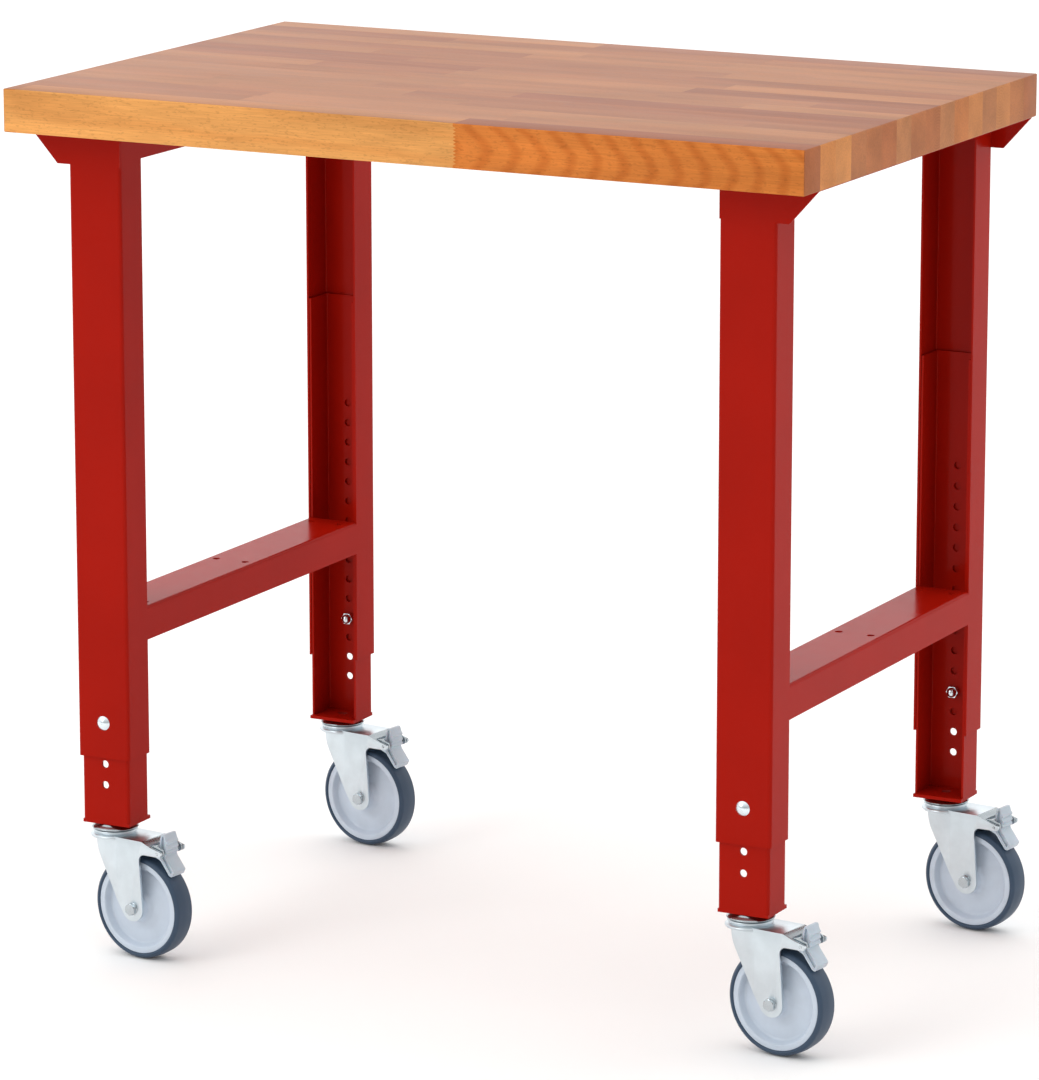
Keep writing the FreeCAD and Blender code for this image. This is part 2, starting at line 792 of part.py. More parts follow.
def make_brake_pedal(corner, side, back):
    """A moulded rocker on the pin: a lever above it, and a shoe over the wheel's shoulder."""
    body = new_body("brake_pedal_" + corner)
    sketch = new_sketch(body, "XZ_Plane")
    add_outline(
        sketch,
        [
            ("pedal_pin_x - 2", "pedal_pin_height + 20.5"),
            ("pedal_pin_x + 1", "pedal_pin_height + 20"),
            ("pedal_pin_x + 4", "pedal_pin_height + 12.5"),
            ("pedal_pin_x + 4.5", "pedal_pin_height - 2"),
            ("pedal_pin_x + 3", "pedal_pin_height - 8"),
            ("pedal_pin_x + 15.5", "pedal_pin_height - 23"),
            ("pedal_pin_x + 12", "pedal_pin_height - 29"),
            ("pedal_pin_x + 10.5", "pedal_pin_height - 28"),
            ("pedal_pin_x + 2", "pedal_pin_height - 19.5"),
            ("pedal_pin_x - 6", "pedal_pin_height - 12.5"),
            ("pedal_pin_x - 16", "pedal_pin_height - 7"),
            ("pedal_pin_x - 15", "pedal_pin_height - 5"),
            ("pedal_pin_x - 4", "pedal_pin_height - 8"),
            ("pedal_pin_x - 5", "pedal_pin_height + 12"),
        ],
    )
    pad(body, sketch, "pedal_width", both_ways=True)
    barrel = new_sketch(body, "XZ_Plane")
    add_circle(barrel, "pedal_pin_x", "pedal_pin_height", "pedal_barrel_radius")
    pad(body, barrel, "pedal_width", both_ways=True)
    bore = new_sketch(body, "XZ_Plane")
    bore_radius = "pedal_pin_diameter / 2 + running_clearance"
    add_circle(bore, "pedal_pin_x", "pedal_pin_height", bore_radius)
    pocket(body, bore, "2 * pedal_width")
    place_caster_part(body, side, back)


def make_brake_carrier(corner, side, back):
    """A strap under the crown with two cheeks, and the pin that the pedal rocks on."""
    body = new_body("brake_carrier_" + corner)
    outer_width = "2 * (cheek_inside + carrier_sheet)"
    strap = new_sketch(body, "XZ_Plane")
    strap_foot = "crown_underside - carrier_sheet"
    strap_end = "pedal_pin_x - 14"
    add_box_outline(strap, "crown_radius + 4", strap_end, strap_foot, "crown_underside")
    pad(body, strap, outer_width, both_ways=True)
    for way in (-1, 1):
        middle = "%d * (cheek_inside + carrier_sheet / 2)" % way
        cheek = new_sketch(body, "XZ_Plane", middle)
        add_outline(
            cheek,
            [
                ("crown_radius + 4", "crown_underside"),
                (strap_end, "crown_underside"),
                ("pedal_pin_x - 1", "pedal_pin_height + 7"),
                ("pedal_pin_x + 5.5", "pedal_pin_height + 3"),
                ("pedal_pin_x + 5.5", "pedal_pin_height - 2"),
                ("pedal_pin_x", "pedal_pin_height - 5"),
                ("pedal_pin_x - 8", "pedal_pin_height - 4"),
                ("crown_radius + 14", strap_foot + " - 4"),
                ("crown_radius + 4", strap_foot),
            ],
        )
        pad(body, cheek, "carrier_sheet", both_ways=True)
    pin = new_sketch(body, "XZ_Plane")
    add_circle(pin, "pedal_pin_x", "pedal_pin_height", "pedal_pin_diameter / 2")
    pad(body, pin, "fork_width", both_ways=True)
    place_caster_part(body, side, back)


# Build, check and write


def build():
    make_sheet()
    make_worktop()
    for name, side in (("left", -1), ("right", 1)):
        make_top_bearer(name, side)
        make_cross_rail(name, side)
    for corner in CORNERS:
        make_outer_leg(*corner)
        make_inner_leg(*corner)
        make_foot_plate(*corner)
    make_fasteners()
    for corner in CORNERS:
        make_caster_bolt(*corner)
        make_swivel_race(*corner)
        make_fork(*corner)
        make_axle_bolt(*corner)
        make_axle_nut(*corner)
        make_axle_sleeve(*corner)
        make_wheel_core(*corner)
        make_tread(*corner)
        make_brake_pedal(*corner)
        make_brake_carrier(*corner)
    doc.recompute()


def check():
    for thing in doc.Objects:
        if "Invalid" in thing.State or "Error" in thing.State:
            raise RuntimeError("%s (%s) failed: %s" % (thing.Name, thing.Label, thing.State))
    for part in parts:
        if part.Shape.isNull() or not part.Shape.isValid():
            raise RuntimeError(part.Label + " has no valid shape")


def write():
    os.makedirs("parts", exist_ok=True)
    for part in parts:
        part.Shape.exportStep(os.path.join("parts", part.Label + ".step"))
    print("wrote %d parts" % len(parts))


build()
check()
write()
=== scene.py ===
"""A work bench on four braked casters: its finished looks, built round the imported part."""

import json
import math
import random

import bmesh
import bpy
from bpy.props import FloatProperty, FloatVectorProperty, IntProperty, PointerProperty
from mathutils import Matrix, Vector

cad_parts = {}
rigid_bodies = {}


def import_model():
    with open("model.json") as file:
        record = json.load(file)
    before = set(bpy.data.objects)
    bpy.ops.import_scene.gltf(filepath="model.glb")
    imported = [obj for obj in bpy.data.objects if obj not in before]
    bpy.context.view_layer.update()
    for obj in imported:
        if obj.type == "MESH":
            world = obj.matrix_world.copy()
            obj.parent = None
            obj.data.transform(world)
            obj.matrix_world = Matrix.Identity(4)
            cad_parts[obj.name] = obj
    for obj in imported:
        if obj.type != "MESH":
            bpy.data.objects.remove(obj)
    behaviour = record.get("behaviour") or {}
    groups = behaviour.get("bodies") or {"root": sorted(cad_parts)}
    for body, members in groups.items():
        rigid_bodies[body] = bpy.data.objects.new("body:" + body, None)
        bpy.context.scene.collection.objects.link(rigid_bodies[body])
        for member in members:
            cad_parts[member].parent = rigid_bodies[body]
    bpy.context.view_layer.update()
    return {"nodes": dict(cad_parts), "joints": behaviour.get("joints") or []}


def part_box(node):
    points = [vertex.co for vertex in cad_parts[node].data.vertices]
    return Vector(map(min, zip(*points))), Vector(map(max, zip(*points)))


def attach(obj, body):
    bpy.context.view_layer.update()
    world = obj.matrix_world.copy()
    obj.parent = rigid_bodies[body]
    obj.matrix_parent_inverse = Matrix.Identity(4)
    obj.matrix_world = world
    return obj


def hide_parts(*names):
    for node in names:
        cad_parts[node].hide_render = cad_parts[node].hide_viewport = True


bl_info = {
    "name": "Mobile Work Bench",
    "version": (1, 0, 0),
    "blender": (4, 5, 0),
    "location": "3D View > Sidebar > Work Bench",
    "description": "Models the beech top, casters, fasteners and finishes of a mobile work bench",
    "category": "Object",
}

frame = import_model()

MM = 0.001
CORNERS = ("front_left", "front_right", "back_left", "back_right")
SAME_PLACE = 1e-6
ON_LINE = 1e-5
TURN_STEPS = 72
SMOOTH_ANGLE = math.radians(32)
SHARP_ANGLE = math.radians(30)
NOISE_LOW = 0.3
NOISE_HIGH = 0.7
AXLE_HEAD_HEIGHT = 5.5
FINGER_CUTS = 23
WORKTOP_MIDDLE = sum(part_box("worktop"), Vector()).z / 2


def joint(name):
    """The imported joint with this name."""
    return next(entry for entry in frame["joints"] if entry["name"] == name)


# ---------------------------------------------------------------- settings


class BenchWorktopSettings(bpy.types.PropertyGroup):
    """How the beech top is glued up."""

    rows: IntProperty(
        name="Rows of staves",
        description="Number of staves side by side over the depth of the top",
        default=16,
        min=4,
        max=40,
    )
    edge_round: FloatProperty(
        name="Edge round",
        description="Radius sanded on every edge of the top",
        default=1.5 * MM,
        min=0.2 * MM,
        max=5 * MM,
        unit="LENGTH",
        subtype="DISTANCE",
    )
    shortest_stave: FloatProperty(
        name="Shortest stave",
        description="Shortest piece of beech in a row",
        default=0.17,
        min=0.05,
        unit="LENGTH",
        subtype="DISTANCE",
    )
    longest_stave: FloatProperty(
        name="Longest stave",
        description="Longest piece of beech in a row",
        default=0.46,
        min=0.06,
        unit="LENGTH",
        subtype="DISTANCE",
    )
    front_joint: FloatProperty(
        name="Front joint",
        description="Distance from the left end to the finger joint in the front stave",
        default=0.578,
        min=0.1,
        unit="LENGTH",
        subtype="DISTANCE",
    )
    end_joint: FloatProperty(
        name="End joint",
        description="Distance from the left end to the short end piece of the front stave",
        default=0.016,
        min=0.005,
        unit="LENGTH",
        subtype="DISTANCE",
    )
    finger_depth: FloatProperty(
        name="Finger depth",
        description="Depth of the fingers where two staves are joined end to end",
        default=4 * MM,
        min=1 * MM,
        unit="LENGTH",
        subtype="DISTANCE",
    )
    light_beech: FloatVectorProperty(
        name="Light beech",
        description="Colour of the palest staves",
        default=(0.435, 0.190, 0.083),
        size=3,
        min=0,
        max=1,
        subtype="COLOR",
    )
    dark_beech: FloatVectorProperty(
        name="Dark beech",
        description="Colour of the darkest, pinkish staves",
        default=(0.295, 0.100, 0.050),
        size=3,
        min=0,
        max=1,
        subtype="COLOR",
    )
    # These two edge colours are lighter than the top's colours: painted light on the long edges. The
    # end grain takes part of them too.
    pale_lit_edge_and_end_grain: FloatVectorProperty(
        name="Pale lit edge and end grain",
        description="Golden colour of the paler staves on the long edges, lighter than the top as painted light; also mixed into the end grain",
        default=(0.70, 0.325, 0.095),
        size=3,
        min=0,
        max=1,
        subtype="COLOR",
    )
    oiled_beech: FloatVectorProperty(
        name="Dark lit edge and end grain",
        description="Warm colour of the darker staves on the long edges, lighter than the top as painted light; also mixed into the end grain",
        default=(0.56, 0.165, 0.030),
        size=3,
        min=0,
        max=1,
        subtype="COLOR",
    )


class BenchCasterSettings(bpy.types.PropertyGroup):
    """Sizes of the shaped caster parts that the frame doesn't give."""

    fork_sheet: FloatProperty(
        name="Fork sheet",
        description="Sheet thickness of the pressed fork",
        default=3 * MM,
        min=1 * MM,
        max=5 * MM,
        unit="LENGTH",
        subtype="DISTANCE",
    )
    fork_edge: FloatProperty(
        name="Fork edge round",
        description="Radius that the pressing leaves on the fork's edges",
        default=0.7 * MM,
        min=0.1 * MM,
        max=1.4 * MM,
        unit="LENGTH",
        subtype="DISTANCE",
    )
    fork_lean: FloatProperty(
        name="Fork lean",
        description="How far the front of each arm is bent inwards",
        default=7 * MM,
        min=0,
        max=8 * MM,
        unit="LENGTH",
        subtype="DISTANCE",
    )
    pedal_edge: FloatProperty(
        name="Pedal edge round",
        description="Radius of the moulded edges of the brake pedal",
        default=0.9 * MM,
        min=0.1 * MM,
        max=1.4 * MM,
        unit="LENGTH",
        subtype="DISTANCE",
    )
    wheel_plastic: FloatVectorProperty(
        name="Wheel plastic",
        description="Colour of the wheel centres",
        default=(0.55, 0.62, 0.71),
        size=3,
        min=0,
        max=1,
        subtype="COLOR",
    )
    tread_rubber: FloatVectorProperty(
        name="Tread rubber",
        description="Colour of the tyres",
        default=(0.040, 0.068, 0.112),
        size=3,
        min=0,
        max=1,
        subtype="COLOR",
    )
    pedal_plastic: FloatVectorProperty(
        name="Pedal plastic",
        description="Colour of the brake pedals",
        default=(0.46, 0.53, 0.60),
        size=3,
        min=0,
        max=1,
        subtype="COLOR",
    )


class BenchSteelSettings(bpy.types.PropertyGroup):
    """Finishes of the bench's steel."""

    red_paint: FloatVectorProperty(
        name="Red paint",
        description="Colour of the powder coat on the frame",
        default=(0.345, 0.0070, 0.0020),
        size=3,
        min=0,
        max=1,
        subtype="COLOR",
    )


class BenchStageSettings(bpy.types.PropertyGroup):
    """Floor, lights and camera."""

    lens: FloatProperty(
        name="Lens",
        description="Focal length of the camera in millimetres",
        default=193.2,
        min=20,
    )
    camera_place: FloatVectorProperty(
        name="Camera place",
        description="Where the camera stands",
        default=(3.002, -5.874, 1.973),
        size=3,
        unit="LENGTH",
        subtype="TRANSLATION",
    )
    camera_turn: FloatVectorProperty(
        name="Camera turn",
        description="How the camera is turned",
        default=(math.radians(77.314), 0.0, math.radians(27.184)),
        size=3,
        unit="ROTATION",
        subtype="EULER",
    )
    floor_size: FloatProperty(
        name="Floor size",
        description="Length of each side of the floor",
        default=85.0,
        min=5,
        unit="LENGTH",
        subtype="DISTANCE",
    )
    key_power: FloatProperty(
        name="Key light",
        description="Power of the large soft light at the front left",
        default=60.0,
        min=0,
    )
    sky_strength: FloatProperty(
        name="Room light",
        description="Strength of the even light of the room",
        default=1.05,
        min=0,
    )


# ---------------------------------------------------------------- hand work


def deselect():
    """Leaves nothing selected."""
    for thing in bpy.context.view_layer.objects:
        thing.select_set(False)


def only(piece):
    """Leaves just this piece selected and active."""
    deselect()
    piece.select_set(True)
    bpy.context.view_layer.objects.active = piece


def settle(piece):
    """Moves the piece's place and turn into its mesh."""
    only(piece)
    bpy.ops.object.transform_apply(location=True, rotation=True, scale=True)
    return piece


def start_edit(piece, kind):
    """Opens a piece for editing with nothing picked."""
    only(piece)
    bpy.ops.object.mode_set(mode="EDIT")
    bpy.ops.mesh.select_mode(type=kind)
    bpy.ops.mesh.select_all(action="DESELECT")


def end_edit():
    """Closes the piece that is open."""
    bpy.ops.object.mode_set(mode="OBJECT")


def pick(kind, wanted):
    """Picks the verts, edges or faces of the open piece that pass a test; returns how many."""
    mesh = bpy.context.edit_object.data
    shape = bmesh.from_edit_mesh(mesh)
    count = 0
    for part in getattr(shape, kind):
        chosen = bool(wanted(part))
        part.select_set(chosen)
        count += chosen
    if kind == "verts":
        shape.select_flush_mode()
    bmesh.update_edit_mesh(mesh)
    return count


def tidy_mesh(piece):
    """Merges doubled vertices and turns every face outwards."""
    start_edit(piece, "VERT")
    bpy.ops.mesh.select_all(action="SELECT")
    bpy.ops.mesh.remove_doubles(threshold=SAME_PLACE)
    bpy.ops.mesh.normals_make_consistent(inside=False)
    end_edit()
    return piece


def rounded(corners, arc_step=math.radians(9)):
    """The points of an outline whose (across, up, radius) corners are rounded off."""
    points = []
    for index, (across, up, radius) in enumerate(corners):
        here = Vector((across, up))
        if radius <= 0:
            points.append(here)
            continue
        ahead = Vector(corners[(index + 1) % len(corners)][:2]) - here
        back = Vector(corners[index - 1][:2]) - here
        half = back.angle(ahead) / 2
        inward = (back.normalized() + ahead.normalized()).normalized()
        centre = here + inward * radius / math.sin(half)
        reach = radius / math.tan(half)
        start = here + back.normalized() * reach - centre
        end = here + ahead.normalized() * reach - centre
        steps = max(2, math.ceil((math.pi - 2 * half) / arc_step))
        for step in range(steps + 1):
            points.append(centre + radius * start.slerp(end, step / steps))
    return points


def circle(across, up, radius, steps=40):
    """The points of a circle."""
    turns = [2 * math.pi * step / steps for step in range(steps)]
    return [Vector((across + radius * math.cos(t), up + radius * math.sin(t))) for t in turns]


def drawn(name, drawing, points, closed):
    """The mesh of a curve drawn through points in millimetres."""
    line = drawing.splines.new("POLY")
    line.points.add(len(points) - 1)
    for spot, (x, y, z) in zip(line.points, points):
        spot.co = (x * MM, y * MM, z * MM, 1)
    line.use_cyclic_u = closed
    piece = bpy.data.objects.new(name, drawing)
    bpy.context.collection.objects.link(piece)
    only(piece)
    bpy.ops.object.convert(target="MESH")
    return bpy.context.view_layer.objects.active


def plate(name, outline, low, high, upright=False):
    """A flat piece cut to an outline in millimetres; upright, it stands in XZ, thick along Y."""
    drawing = bpy.data.curves.new(name, "CURVE")
    drawing.dimensions = "2D"
    drawing.fill_mode = "BOTH"
    drawing.extrude = (high - low) / 2 * MM
    piece = drawn(name, drawing, [(across, up, 0) for across, up in outline], True)
    between = (low + high) / 2 * MM
    if upright:
        piece.rotation_euler.x = math.pi / 2
        piece.location.y = between
    else:
        piece.location.z = between
    return tidy_mesh(settle(piece))


def turned(name, profile, steps=TURN_STEPS):
    """A turned piece from the (radius, height) points of its section, in millimetres."""
    has_bore = min(radius for radius, height in profile) > 0
    drawing = bpy.data.curves.new(name, "CURVE")
    drawing.dimensions = "3D"
    piece = drawn(name, drawing, [(radius, 0, height) for radius, height in profile], has_bore)
    start_edit(piece, "VERT")
    bpy.ops.mesh.select_all(action="SELECT")
    bpy.ops.mesh.spin(steps=steps, angle=2 * math.pi, center=(0, 0, 0), axis=(0, 0, 1))
    end_edit()
    return tidy_mesh(piece)


def combine(piece, other, operation):
    """Cuts one solid from another, or keeps what they share; the other is used up."""
    modifier = piece.modifiers.new("Combine", "BOOLEAN")
    modifier.operation = operation
    modifier.solver = "EXACT"
    modifier.object = other
    only(piece)
    bpy.ops.object.modifier_apply(modifier=modifier.name)
    bpy.data.objects.remove(other)
    return piece


def join(piece, *others):
    """Joins finished solids into one piece without cutting them."""
    only(piece)
    for other in others:
        other.select_set(True)
    bpy.ops.object.join()
    return piece


def soften(piece, width, segments=2):
    """Rounds the sharp edges of a piece and smooths its curved faces."""
    bevel = piece.modifiers.new("Soft edges", "BEVEL")
    bevel.width = width
    bevel.segments = segments
    bevel.limit_method = "ANGLE"
    bevel.angle_limit = SHARP_ANGLE
    only(piece)
    bpy.ops.object.modifier_apply(modifier=bevel.name)
    return smooth(piece)


def smooth(piece, angle=SMOOTH_ANGLE):
    """Smooths the curved faces and keeps the sharp edges."""
    only(piece)
    bpy.ops.object.shade_smooth_by_angle(angle=angle)
    return piece


def hexagon(name, across_flats, low, high):
    """A hexagon head between two heights, with the chamfer of its turned tip."""
    chamfer_drop = 0.9
    radius = across_flats / math.sqrt(3)
    bpy.ops.mesh.primitive_cylinder_add(
        vertices=6,
        radius=radius * MM,
        depth=(high - low) * MM,
        location=(0, 0, (low + high) / 2 * MM),
    )
    head = settle(bpy.context.view_layer.objects.active)
    head.name = name
    flat = across_flats / 2 - 0.3
    wide = radius + 1
    slope = chamfer_drop * (wide - flat) / (radius - flat)
    profile = [(0, high), (flat, high), (wide, high - slope), (wide, low - 1), (0, low - 1)]
    return combine(head, turned("chamfer", profile), "INTERSECT")


def flange(name, inner, seat):
    """The thin round flange under a hexagon; inner is the radius of its bore."""
    top = seat + 0.9
    return turned(name, [(inner, seat), (7.4, seat), (7.8, seat + 0.4), (7.2, top), (inner, top)])


def coat_node(node, material):
    """Gives a part that keeps its CAD shape its finish."""
    node.data.materials.clear()
    node.data.materials.append(material)


def finish(piece, name, material, body, slot, *replaced):
    """Names a finished piece and says what it is made of, rides on and stands for."""
    piece.name = name
    piece.data.name = name
    for finish_coat in material if isinstance(material, tuple) else (material,):
        piece.data.materials.append(finish_coat)
    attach(piece, body)
    if replaced:
        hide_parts(*replaced)


# ---------------------------------------------------------------- casters' places


def caster_place(corner):
    """The frame of a caster: its swivel axis stands at the origin and its wheel trails along X."""
    swivel = joint("swivel_" + corner)["pos_m"]
    axle = joint("roll_" + corner)["axis"]
    turn = math.atan2(-axle[0], axle[1])
    return Matrix.Translation((swivel[0], swivel[1], 0)) @ Matrix.Rotation(turn, 4, "Z")


def caster_box(node):
    """The box of a front left caster node in its caster's frame, in millimetres."""
    back = caster_place(CORNERS[0]).inverted()
    spots = [back @ vertex.co / MM for vertex in frame["nodes"][node].data.vertices]
    low = Vector([min(spot[way] for spot in spots) for way in range(3)])
    high = Vector([max(spot[way] for spot in spots) for way in range(3)])
    return low, high


def wheel_centre():
    """The wheel's centre in a caster's frame, in millimetres."""
    low, high = caster_box("tread_" + CORNERS[0])
    return (low + high) / 2


def lay_on_axle(piece, spot, side=1):
    """Turns a piece made on the Z axis onto a cross axis through a spot, its top towards side Y."""
    piece.rotation_euler.x = -side * math.pi / 2
    piece.location = (spot.x * MM, 0, spot.z * MM)
    return tidy_mesh(settle(piece))


def set_on_casters(piece, name, material, body, slot, *replaced):
    """Puts a finished caster piece on all four casters, each with its own mesh."""
    for corner in CORNERS:
        copy = piece.copy()
        copy.data = piece.data.copy()
        bpy.context.collection.objects.link(copy)
        copy.matrix_world = caster_place(corner)
        settle(copy)
        nodes = [node + "_" + corner for node in replaced]
        finish(copy, name + "_" + corner, material, body + "_" + corner, slot, *nodes)
    bpy.data.objects.remove(piece)


# ---------------------------------------------------------------- finishes


def new_material(name, colour, metallic=0.0, roughness=0.5, **values):
    """A material and its shader; values are the shader's other sockets."""
    material = bpy.data.materials.new(name)
    material.use_nodes = True
    tree = material.node_tree
    shader = tree.nodes["Principled BSDF"]
    shader.inputs["Base Color"].default_value = (*colour, 1)
    shader.inputs["Metallic"].default_value = metallic
    shader.inputs["Roughness"].default_value = roughness
    for socket, amount in values.items():
        shader.inputs[socket.replace("_", " ")].default_value = amount
    return material, tree, shader


def add_node(tree, kind, inputs=None, **settings):
    """A node with its settings made and its sockets filled or linked."""
    node = tree.nodes.new(kind)
    for setting, amount in settings.items():
        setattr(node, setting, amount)
    for socket, amount in (inputs or {}).items():
        if isinstance(amount, bpy.types.NodeSocket):
            tree.links.new(amount, node.inputs[socket])
        else:
            node.inputs[socket].default_value = amount
    return node


def object_place(tree):
    """Coordinates that stay with the piece."""
    return add_node(tree, "ShaderNodeTexCoord").outputs["Object"]


def noise(tree, place, scale, detail=3.0, roughness=0.5):
    """The value of a noise pattern."""
    sockets = {"Vector": place, "Scale": scale, "Detail": detail, "Roughness": roughness}
    return add_node(tree, "ShaderNodeTexNoise", sockets).outputs["Fac"]


def maths(tree, first, second, operation):
    """Two values worked into one."""
    return add_node(tree, "ShaderNodeMath", {0: first, 1: second}, operation=operation).outputs[0]


def spread(tree, value, low, high, to_low, to_high):
    """A value carried from one range to another and kept inside it."""
    sockets = {"Value": value, "From Min": low, "From Max": high, "To Min": to_low, "To Max": to_high}
    return add_node(tree, "ShaderNodeMapRange", sockets).outputs["Result"]


def blend(tree, amount, first, second, way="MIX"):
    """Two colours mixed."""
    sockets = {0: amount, 6: first, 7: second}
    return add_node(tree, "ShaderNodeMix", sockets, data_type="RGBA", blend_type=way).outputs[2]


def add_bump(tree, shader, height, strength, distance):
    """Lets a pattern raise the surface."""
    sockets = {"Height": height, "Strength": strength, "Distance": distance}
    bump = add_node(tree, "ShaderNodeBump", sockets)
    tree.links.new(bump.outputs["Normal"], shader.inputs["Normal"])


def shade(colour, amount):
    """A colour made darker or lighter, with its alpha."""
    return tuple(min(1, part * amount) for part in colour) + (1,)


def vary_colour(tree, shader, colour, pattern, change):
    """Lets a pattern make a colour a little darker and lighter."""
    amount = spread(tree, pattern, NOISE_LOW, NOISE_HIGH, 0, 1)
    varied = blend(tree, amount, shade(colour, 1 - change), shade(colour, 1 + change))
    tree.links.new(varied, shader.inputs["Base Color"])


def vary_roughness(tree, shader, pattern, low, high):
    """Lets a pattern make the surface glossier and duller."""
    dull = spread(tree, pattern, NOISE_LOW, NOISE_HIGH, low, high)
    tree.links.new(dull, shader.inputs["Roughness"])


def powder_coat(settings):
    """Glossy red powder coat with a fine orange peel."""
    colour = tuple(settings.red_paint)
    material, tree, shader = new_material(
        "Red Powder Coat",
        colour,
        roughness=0.24,
        Specular_IOR_Level=0.03,
        Coat_Weight=0.05,
        Coat_Roughness=0.08,
    )
    place = object_place(tree)
    vary_colour(tree, shader, colour, noise(tree, place, 7.0), 0.06)
    vary_roughness(tree, shader, noise(tree, place, 60.0), 0.20, 0.27)
    add_bump(tree, shader, noise(tree, place, 620.0, 2.0), 0.10, 0.2 * MM)
    return material


def zinc(name, tone, roughness, grain):
    """Zinc-plated steel with a fine, slightly cloudy finish."""
    colour = (0.735 * tone, 0.81 * tone, 0.855 * tone)
    material, tree, shader = new_material(name, colour, metallic=1.0, roughness=roughness)
    place = object_place(tree)
    vary_colour(tree, shader, colour, noise(tree, place, 55.0, 4.0), 0.05)
    fine = noise(tree, place, 240.0)
    vary_roughness(tree, shader, fine, roughness * 0.88, roughness * 1.12)
    add_bump(tree, shader, noise(tree, place, 900.0, 2.0), grain, 0.1 * MM)
    return material


def moulded(name, colour, roughness, grain, **values):
    """Moulded plastic or rubber with a fine grain."""
    material, tree, shader = new_material(name, colour, roughness=roughness, **values)
    place = object_place(tree)
    vary_colour(tree, shader, colour, noise(tree, place, 40.0, 4.0), 0.05)
    add_bump(tree, shader, noise(tree, place, 1100.0, 3.0), grain, 0.15 * MM)
    return material


def growth_rings(tree, spot, tone, shift, middle_row):
    """The dark lines of the year rings round a pith that runs past each stave at its own slant."""
    steepest = 0.13
    pith_across = 0.026
    stretch = 0.14
    x, y, z = add_node(tree, "ShaderNodeSeparateXYZ", {"Vector": spot}).outputs
    slant = spread(tree, shift, 0.0, 1.0, -steepest, steepest)
    from_row = maths(tree, y, middle_row, "SUBTRACT")
    across = maths(tree, from_row, maths(tree, x, slant, "MULTIPLY"), "ADD")
    across = maths(tree, across, pith_across, "ADD")
    pith_up = spread(tree, tone, 0, 1, -0.03, 0.01)
    up = maths(tree, maths(tree, z, WORKTOP_MIDDLE, "SUBTRACT"), pith_up, "ADD")
    long = maths(tree, x, stretch, "MULTIPLY")
    place = add_node(tree, "ShaderNodeCombineXYZ", {0: long, 1: across, 2: up}).outputs[0]
    sockets = {
        "Vector": place,
        "Scale": 96.0,
        "Distortion": 7.0,
        "Detail": 3.0,
        "Detail Scale": 0.16,
        "Detail Roughness": 0.5,
    }
    wave = add_node(tree, "ShaderNodeTexWave", sockets, wave_type="RINGS", rings_direction="X")
    return spread(tree, wave.outputs["Fac"], 0.40, 1.0, 0, 1)


def beech(settings):
    """Glued beech: growth rings, fibres and ray flecks that change from stave to stave, with painted
    light on the long edges, which are lighter than the top.
    """
    white = (1, 1, 1, 1)
    light = (*settings.light_beech, 1)
    dark = (*settings.dark_beech, 1)
    golden = (*settings.pale_lit_edge_and_end_grain, 1)
    warm = (*settings.oiled_beech, 1)
    material, tree, shader = new_material(
        "Oiled Beech", light[:3], roughness=0.46, Specular_IOR_Level=0.08
    )
    stave = add_node(tree, "ShaderNodeAttribute", attribute_name="stave")
    parts = add_node(tree, "ShaderNodeSeparateColor", {"Color": stave.outputs["Color"]})
    tone, edge_light_and_end_grain, shift = parts.outputs
    spot = object_place(tree)
    jump = {0: stave.outputs["Color"], 1: (0.9, 0.0, 3.1)}
    jump = add_node(tree, "ShaderNodeVectorMath", jump, operation="MULTIPLY").outputs[0]
    moved = add_node(tree, "ShaderNodeVectorMath", {0: spot, 1: jump}, operation="ADD").outputs[0]

    def along_grain(scale):
        """The stave's own coordinates, drawn out along its fibres."""
        sockets = {"Vector": moved, "Scale": scale}
        return add_node(tree, "ShaderNodeMapping", sockets).outputs["Vector"]

    rings = growth_rings(tree, spot, tone, shift, stave.outputs["Alpha"])
    fibres = noise(tree, along_grain((22.0, 520.0, 520.0)), 1.0, 4.0, 0.6)
    flecks = noise(tree, along_grain((190.0, 900.0, 620.0)), 1.0, 1.0, 0.5)
    clouds = noise(tree, along_grain((4.0, 26.0, 26.0)), 1.0, 3.0)
    # Painted light: the long edges take the lighter edge colours in full and the end grain takes part
    # of them; the top keeps the plain stave colours.
    wood = blend(tree, edge_light_and_end_grain, blend(tree, tone, light, dark), blend(tree, tone, golden, warm))
    deep = blend(tree, tone, (0.96, 0.91, 0.87, 1), (0.86, 0.76, 0.66, 1))
    depth = blend(tree, edge_light_and_end_grain, (0.91, 0.87, 0.85, 1), deep)
    layers = (
        blend(tree, rings, white, depth),
        spread(tree, fibres, NOISE_LOW, NOISE_HIGH, 0.87, 1.13),
        spread(tree, clouds, NOISE_LOW, NOISE_HIGH, 0.86, 1.14),
        spread(tree, flecks, 0.60, 0.68, 1.0, 0.84),
    )
    for layer in layers:
        wood = blend(tree, 1.0, wood, layer, "MULTIPLY")
    tree.links.new(wood, shader.inputs["Base Color"])
    vary_roughness(tree, shader, fibres, 0.38, 0.48)
    add_bump(tree, shader, fibres, 0.12, 0.2 * MM)
    return material


# ---------------------------------------------------------------- worktop


def row_joints(settings, row, length, chance):
    """Distances from the left end to the joints of a row."""
    if row == 0:
        return [settings.end_joint, settings.front_joint]
    joints = []
    at = chance.uniform(0.3, 1.0) * settings.longest_stave
    while at < length - settings.shortest_stave / 2:
        joints.append(at)
        at += chance.uniform(settings.shortest_stave, settings.longest_stave)
    return joints


def row_at(along, low, width, rows):
    """The row of staves at a place over the depth of the top."""
    return min(rows - 1, max(0, int((along - low.y) / width)))


def pick_row(row, low, width, rows):
    """Picks the faces of the open top that lie in one row of staves."""
    pick("faces", lambda face: row_at(face.calc_center_median().y, low, width, rows) == row)


